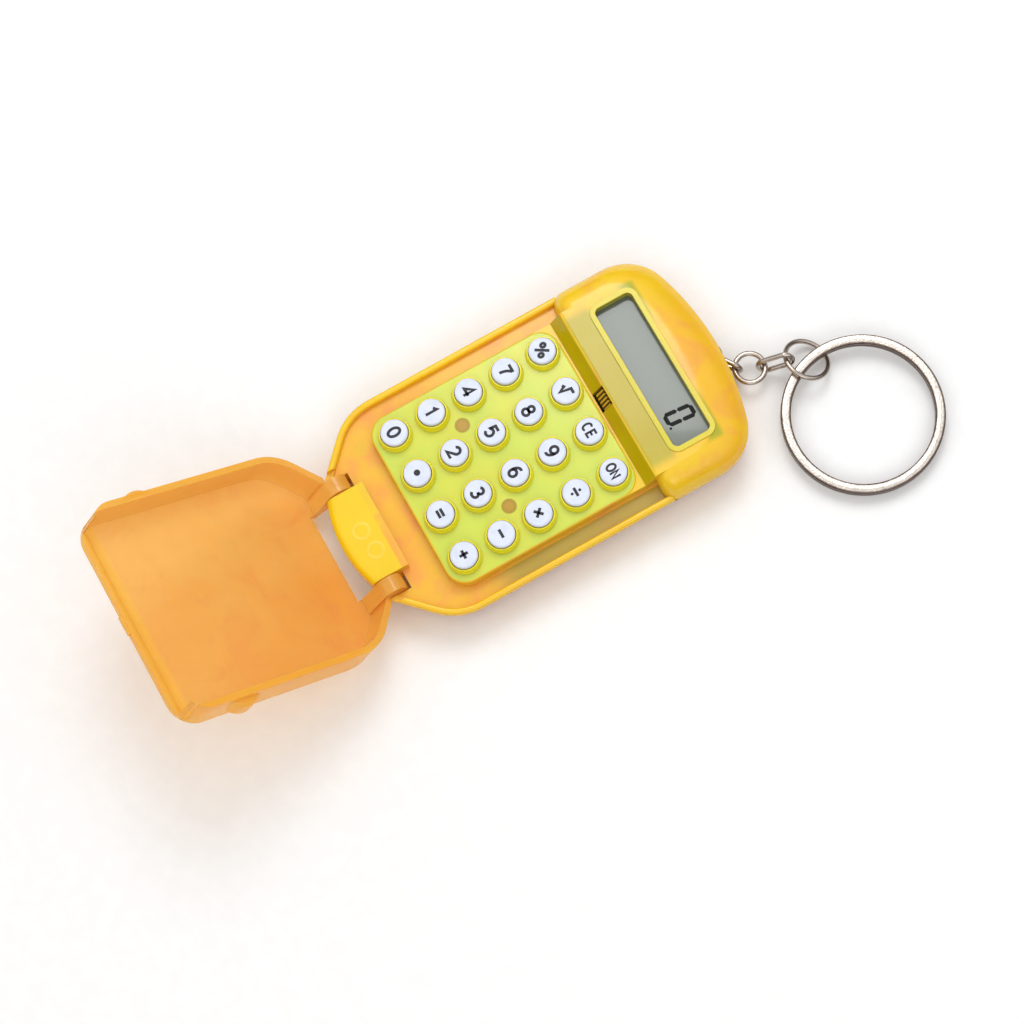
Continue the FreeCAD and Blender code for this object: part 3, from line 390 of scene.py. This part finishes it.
def display_glass():
    """Grey-green reflective display with a darker sealed edge, and painted light that makes it lighter
    towards one side.
    """
    finish = Finish("display_glass")
    inset = (13.0 - abs(finish.x)).least(4.0 - abs(finish.y - GLASS_Y))
    # Painted light: the glass grows lighter towards one side.
    fall = (finish.x * 0.022 + finish.y * -0.03 + 1.0).step(0.1, 0.9)
    grain = finish.noise(0.12, 5.0, 0.7)
    base = finish.mix(fall, linear(88, 98, 88), linear(108, 118, 108))
    base = finish.mix(grain.step(0.35, 0.8) * 0.25, base, linear(118, 128, 118))
    base = finish.mix(1.0 - inset.step(0.0, 0.8), base, linear(56, 64, 42))
    return finish.close(finish.surface({
        "Base Color": base, "Roughness": grain * 0.1 + 0.12, "IOR": 1.5, "Coat Weight": 0.5,
        "Coat Roughness": 0.03, "Normal": finish.bump(grain, 0.05, 0.01)}))


def segment_ink():
    """Switched-on display segments, near black."""
    finish = Finish("segment_dark")
    grain = finish.noise(0.12, 4.0, 0.7)
    base = finish.mix(grain.step(0.3, 0.8), linear(6, 8, 8), linear(20, 22, 20))
    return finish.close(finish.surface({
        "Base Color": base, "Roughness": grain * 0.1 + 0.35, "Specular IOR Level": 0.15,
        "Normal": finish.bump(grain, 0.05, 0.01)}))


RIBBON_STRIPES = 5.0


def ribbon_film():
    """Gold film with dark conductor stripes along its run."""
    finish = Finish("ribbon_film")
    width = ribbon_high.x - ribbon_low.x
    stripe = ((finish.x - ribbon_low.x) * (2 * math.pi * RIBBON_STRIPES / width) - 0.4).wave()
    broken = finish.noise(0.8, 2.0, 0.5, along=(1, 2.5, 2.5))
    dark = (stripe + (broken - 0.5) * 0.8).step(-0.15, 0.1)
    base = finish.mix(dark, linear(196, 150, 30), linear(44, 28, 10))
    return finish.close(finish.surface({
        "Base Color": base, "Roughness": broken * 0.2 + 0.35, "Normal": finish.bump(dark, 0.3, 0.03)}))


def plated_wire(name, colour, stain, rough, drawn):
    """Plated steel with fine drawing lines and dull spots."""
    finish = Finish(name)
    lines = finish.noise(0.35, 4.0, 0.6, along=drawn)
    spots = finish.noise(0.9, 5.0, 0.7)
    base = finish.mix(spots.step(0.55, 0.8) * 0.6, colour, stain)
    return finish.close(finish.surface({
        "Base Color": base, "Metallic": 1.0, "Roughness": lines * 0.14 + spots * 0.1 + rough,
        "Normal": finish.bump(lines + spots * 0.6, 0.2, 0.03)}))


def cell_can():
    """Nickel-plated cell with turned rings on its face."""
    finish = Finish("cell_can")
    low, high = corners("button_cell")
    from_axis = reach(finish.x - (low.x + high.x) / 2, finish.y - (low.y + high.y) / 2)
    rings = (from_axis * 24.0).wave()
    smudge = finish.noise(2.0, 4.0, 0.6)
    base = finish.mix(smudge.step(0.4, 0.8), linear(196, 196, 190), linear(160, 158, 150))
    return finish.close(finish.surface({
        "Base Color": base, "Metallic": 1.0, "Roughness": smudge * 0.2 + 0.22,
        "Normal": finish.bump(rings + smudge, 0.15, 0.02)}))


RING_WIRE_MIDDLE = 0.75       # from the split ring's outer edge to the middle of its wire


def ring_wire():
    """The split ring's flat wire: a painted highlight along its middle and painted brown shade towards
    both edges.
    """
    finish = Finish("split_ring_steel")
    low, high = corners("split_ring")
    from_axis = reach(finish.x - (low.x + high.x) / 2, finish.y - (low.y + high.y) / 2)
    from_middle = abs(from_axis - ((high.y - low.y) / 2 - RING_WIRE_MIDDLE))
    lines = finish.noise(0.3, 4.0, 0.6)
    spots = finish.noise(1.4, 4.0, 0.7)
    base = finish.mix(spots.step(0.5, 0.8) * 0.5, linear(214, 204, 194), linear(130, 112, 98))
    # Painted shade: brown towards both edges of the flat wire, leaving a painted highlight along its
    # middle.
    painted_edge_shade = (from_middle + (spots - 0.5) * 0.25).step(0.3, 0.62)
    base = finish.mix(painted_edge_shade * 0.9, base, linear(84, 64, 56))
    return finish.close(finish.surface({
        "Base Color": base, "Metallic": 1.0, "Roughness": lines * 0.14 + 0.14,
        "Normal": finish.bump(lines + from_middle * -1.5, 0.4, 0.1)}))


def dress(node, material):
    """Give a carried-over node one finish."""
    data = nodes[node].data
    data.materials.clear()
    data.materials.append(material)


dress("front_casing", casing_plastic())
dress("rear_casing", rear_plastic())
dress("flip_cover", cover_plastic())
dress("keypad_mat", mat_rubber())
dress("circuit_board", board_mask())
dress("chip_blob", cast_epoxy())
dress("lcd_glass", display_glass())
dress("display_ribbon", ribbon_film())
dress("button_cell", cell_can())
strip_steel = plated_wire("strip_steel", linear(190, 188, 180), linear(150, 140, 120), 0.25, (1, 6, 6))
dress("battery_contact_plus", strip_steel)
dress("battery_contact_minus", strip_steel)
screw_zinc = plated_wire("screw_zinc", linear(176, 178, 182), linear(120, 118, 110), 0.25, (1, 1, 6))
dress("case_screws", screw_zinc)
ring_steel = plated_wire("ring_nickel", linear(186, 174, 164), linear(84, 64, 52), 0.06, (1, 1, 1))
for wire_piece in ("ring_eyelet", "chain_link_1", "chain_link_2", "chain_link_3", "jump_ring"):
    dress(wire_piece, ring_steel)


dress("split_ring", ring_wire())
key_white = key_plastic()
pill_black = carbon_rubber()
for key_name in KEY_SIGNS:
    dress("key_" + key_name, key_white)
    dress("pill_" + key_name, pill_black)


# ---------------------------------------------------------------- printed legends
INK_THICK = 0.012
ONE_LETTER = (1.15, 0.43)     # scale and stroke width of a single sign
TWO_LETTERS = (0.86, 0.33)
POINT_R, DOT_R, DOT_OUT = 0.48, 0.22, 0.62
MITRE_LIMIT = 0.45


def arc_points(cx, cy, rx, ry, start, end, steps):
    """Points on an ellipse, angles in degrees."""
    turn = [math.radians(start + (end - start) * i / steps) for i in range(steps + 1)]
    return [(cx + rx * math.cos(t), cy + ry * math.sin(t)) for t in turn]


def glyph(sign):
    """The strokes of a sign in a box 1 wide and 1.6 high around its middle, each a list of points."""
    top, low, half = 0.8, -0.8, 0.5
    round_end = arc_points(0, 0, half, top, 90, 450, 40)
    shapes = {
        "0": [round_end],
        "1": [[(-0.3, 0.42), (0.08, top), (0.08, low)]],
        "2": [arc_points(0, 0.32, 0.46, 0.48, 165, -40, 18) + [(-0.5, low), (0.52, low)]],
        "3": [arc_points(-0.02, 0.4, 0.42, 0.4, 150, -90, 16),
              arc_points(-0.02, -0.38, 0.48, 0.42, 90, -150, 16)],
        "4": [[(0.24, low), (0.24, top), (-0.52, -0.28), (0.54, -0.28)]],
        "5": [[(0.42, top), (-0.34, top), (-0.42, 0.06)]
              + arc_points(0, -0.27, 0.48, 0.53, 140, -145, 20)],
        "6": [arc_points(0, -0.3, 0.46, 0.5, 0, 360, 28),
              arc_points(0.12, -0.18, 0.58, 0.98, 180, 72, 14)],
        "7": [[(-0.48, top), (0.48, top)] + arc_points(0.95, -0.9, 1.02, 1.72, 118, 176, 10)],
        "8": [arc_points(0, 0.4, 0.38, 0.4, 0, 360, 28),
              arc_points(0, -0.38, 0.46, 0.42, 0, 360, 28)],
        "9": [arc_points(0, 0.3, 0.46, 0.5, 0, 360, 28),
              arc_points(-0.12, 0.18, 0.58, 0.98, 0, -108, 14)],
        "=": [[(-0.55, 0.26), (0.55, 0.26)], [(-0.55, -0.26), (0.55, -0.26)]],
        "+": [[(-0.58, 0), (0.58, 0)], [(0, 0.58), (0, -0.58)]],
        "minus": [[(-0.6, 0), (0.6, 0)]],
        "times": [[(-0.46, 0.46), (0.46, -0.46)], [(-0.46, -0.46), (0.46, 0.46)]],
        "divide": [[(-0.6, 0), (0.6, 0)]],
        "percent": [[(0.5, 0.8), (-0.5, -0.8)], arc_points(-0.52, 0.42, 0.25, 0.3, 0, 360, 20),
                    arc_points(0.52, -0.42, 0.25, 0.3, 0, 360, 20)],
        "root": [[(-0.75, -0.1), (-0.5, 0.05), (-0.12, -0.72), (0.14, 0.72), (0.85, 0.72)]],
        "C": [arc_points(0, 0, half, top, 50, 310, 26)],
        "E": [[(0.42, top), (-0.4, top), (-0.4, low), (0.42, low)], [(-0.4, 0.02), (0.3, 0.02)]],
        "O": [arc_points(0, 0, 0.54, top, 90, 450, 40)],
        "N": [[(-0.44, low), (-0.44, top), (0.44, low), (0.44, top)]],
        "point": [],
    }
    return shapes[sign]


def add_disc(mesh, cx, cy, radius, z, thick, sides=20):
    """A raised dot."""
    turn = [2 * math.pi * i / sides for i in range(sides)]
    rings = []
    for height, share in ((z - thick, 1.0), (z + thick * 0.6, 1.0), (z + thick, 0.93)):
        places = [(cx + radius * share * math.cos(t), cy + radius * share * math.sin(t)) for t in turn]
        rings.append([mesh.verts.new(Vector((px, py, height)) * MM) for px, py in places])
    for lower, upper in zip(rings, rings[1:]):
        for i in range(sides):
            mesh.faces.new((lower[i], lower[(i + 1) % sides], upper[(i + 1) % sides], upper[i]))
    mesh.faces.new(rings[-1])
    mesh.faces.new(rings[0][::-1])


def add_stroke(mesh, points, width, z, thick):
    """A raised ribbon of ink along a line, with square ends and mitred bends."""
    closed = math.dist(points[0], points[-1]) < 1e-6
    count = len(points) - (1 if closed else 0)
    sides = []
    for i in range(count):
        here = Vector(points[i])
        starts, ends = not closed and i == 0, not closed and i == count - 1
        before = here * 2 - Vector(points[i + 1]) if starts else Vector(points[(i - 1) % count])
        after = here * 2 - Vector(points[i - 1]) if ends else Vector(points[(i + 1) % count])
        first = (here - before).normalized()
        second = (after - here).normalized()
        middle = (first + second).normalized()
        across = Vector((-middle.y, middle.x))
        bend = abs(across.dot(Vector((-first.y, first.x))))
        offset = across * (width / 2 / max(bend, MITRE_LIMIT))
        sides.append((here + offset, here - offset))
    rings = []
    for left, right in sides:
        edge = [(left, -thick), (left, thick * 0.6), (left.lerp(right, 0.08), thick),
                (left.lerp(right, 0.92), thick), (right, thick * 0.6), (right, -thick)]
        rings.append([mesh.verts.new(Vector((p.x, p.y, z + h)) * MM) for p, h in edge])
    pairs = list(zip(rings, rings[1:] + rings[:1])) if closed else list(zip(rings, rings[1:]))
    for one, other in pairs:
        for i in range(6):
            mesh.faces.new((one[i], one[(i + 1) % 6], other[(i + 1) % 6], other[i]))
    if not closed:
        mesh.faces.new(rings[0][::-1])
        mesh.faces.new(rings[-1])


def piece_from(mesh, name, material, body):
    """Turn a bmesh into a piece that rides on a body."""
    bmesh.ops.recalc_face_normals(mesh, faces=mesh.faces)
    data = bpy.data.meshes.new(name)
    mesh.to_mesh(data)
    mesh.free()
    data.materials.append(material)
    made = bpy.data.objects.new(name, data)
    bpy.context.scene.collection.objects.link(made)
    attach(made, body)
    return made


ink = legend_ink()


def legend(name):
    """The printed sign on a key's top."""
    sign = KEY_SIGNS[name]
    x, y, z = key_middle(name)
    mesh = bmesh.new()
    letters = [(sign, 0.0)] if sign not in ("CE", "ON") else [(sign[0], -0.72), (sign[1], 0.66)]
    scale, width = ONE_LETTER if len(letters) == 1 else TWO_LETTERS
    for letter, shift in letters:
        for stroke in glyph(letter):
            points = [(x + (px + shift) * scale, y + py * scale) for px, py in stroke]
            add_stroke(mesh, points, width, z, INK_THICK)
    if sign == "point":
        add_disc(mesh, x, y, POINT_R, z, INK_THICK)
    if sign == "divide":
        for side in (-1, 1):
            add_disc(mesh, x, y + side * DOT_OUT, DOT_R, z, INK_THICK)
    made = piece_from(mesh, "legend_" + name, ink, "button_" + name)


for key_name in KEY_SIGNS:
    legend(key_name)


# ---------------------------------------------------------------- display figure
def display_figure():
    """The digit nought and its decimal point, each segment pointed at both ends."""
    right, low = 8.2, GLASS_Y - 1.8
    wide, high, slant, bar = 1.62, 4.0, 0.09, 0.62
    z = glass_high.z + 0.004

    def lean(px, py):
        return right - wide + px + (py * slant), low + py

    def segment(start, end):
        along = Vector((end[0] - start[0], end[1] - start[1])).normalized()
        side = Vector((-along.y, along.x)) * bar / 2
        start, end = Vector(start) + along * 0.02, Vector(end) - along * 0.02
        tip = along * bar * 0.36
        return [start, start + tip + side, end - tip + side, end, end - tip - side, start + tip - side]

    mid = high / 2
    spans = [((0, high), (wide, high)), ((0, 0), (wide, 0)), ((0, 0), (0, mid)), ((0, mid), (0, high)),
             ((wide, 0), (wide, mid)), ((wide, mid), (wide, high))]
    mesh = bmesh.new()
    for start, end in spans:
        outline = [lean(p.x, p.y) for p in segment(start, end)]
        lower = [mesh.verts.new(Vector((px, py, z - 0.003)) * MM) for px, py in outline]
        upper = [mesh.verts.new(Vector((px, py, z + 0.006)) * MM) for px, py in outline]
        for i in range(6):
            mesh.faces.new((lower[i], lower[(i + 1) % 6], upper[(i + 1) % 6], upper[i]))
        mesh.faces.new(upper)
        mesh.faces.new(lower[::-1])
    point_x, point_y = lean(wide + 0.5, -0.1)
    add_disc(mesh, point_x, point_y, 0.19, z, 0.006, 12)
    made = piece_from(mesh, "display_figure", segment_ink(), "casing")


display_figure()


# ---------------------------------------------------------------- floor, light, camera
FLOOR_SIZE, FLOOR_DROP = 3.0, 0.0004
WORLD_STRENGTH = 1.02
CAMERA_PLACE = (116.5, -34.2, 426.6)
CAMERA_RIGHT = (0.48421, 0.87201, -0.07178)
CAMERA_UP = (-0.83843, 0.48589, 0.24691)
LENS, SENSOR = 106.0, 36.0


def studio():
    """A plain pale floor under soft, even light."""
    finish = Finish("floor_paper")
    grain = finish.noise(3.0, 4.0, 0.6)
    base = finish.mix(grain.step(0.3, 0.8), (0.90, 0.90, 0.90), (0.93, 0.93, 0.93))
    paper = finish.close(finish.surface({"Base Color": base, "Roughness": 0.9}))
    bpy.ops.mesh.primitive_grid_add(
        x_subdivisions=2, y_subdivisions=2, size=FLOOR_SIZE, location=(0, 0, -FLOOR_DROP))
    floor = bpy.context.object
    floor.name = "floor"
    floor.data.materials.append(paper)

    world = bpy.data.worlds.new("studio_air")
    world.use_nodes = True
    tree = world.node_tree
    direction = tree.nodes.new("ShaderNodeTexCoord")
    split = tree.nodes.new("ShaderNodeSeparateXYZ")
    ramp = tree.nodes.new("ShaderNodeValToRGB")
    ramp.color_ramp.elements[0].position = 0.28
    ramp.color_ramp.elements[0].color = (0.10, 0.09, 0.08, 1.0)
    ramp.color_ramp.elements[1].position = 0.62
    ramp.color_ramp.elements[1].color = (1.0, 1.0, 1.0, 1.0)
    tree.links.new(direction.outputs["Generated"], split.inputs[0])
    tree.links.new(split.outputs[2], ramp.inputs[0])
    tree.links.new(ramp.outputs[0], tree.nodes["Background"].inputs["Color"])
    tree.nodes["Background"].inputs["Strength"].default_value = WORLD_STRENGTH
    bpy.context.scene.world = world

    def panel(name, place, size, power):
        lamp = bpy.data.lights.new(name, "AREA")
        lamp.shape = "DISK"
        lamp.size = size
        lamp.energy = power
        holder = bpy.data.objects.new(name, lamp)
        holder.location = place
        holder.rotation_euler = (-Vector(place)).to_track_quat("-Z", "Y").to_euler()
        bpy.context.scene.collection.objects.link(holder)

    panel("key_light", (-0.25, 0.15, 0.5), 0.3, 1.0)
    panel("fill_light", (0.45, -0.1, 0.45), 0.4, 0.42)


def camera():
    """A long lens high over the keys, turned so that the display points to the upper right."""
    lens = bpy.data.cameras.new("camera")
    lens.sensor_width = SENSOR
    lens.lens = LENS
    lens.clip_start = 0.01
    holder = bpy.data.objects.new("camera", lens)
    right, up = Vector(CAMERA_RIGHT), Vector(CAMERA_UP)
    turn = Matrix((right, up, right.cross(up))).transposed().to_4x4()
    holder.matrix_world = Matrix.Translation(Vector(CAMERA_PLACE) * MM) @ turn
    bpy.context.scene.collection.objects.link(holder)
    bpy.context.scene.camera = holder


studio()
camera()
bpy.context.scene.view_settings.view_transform = "Standard"
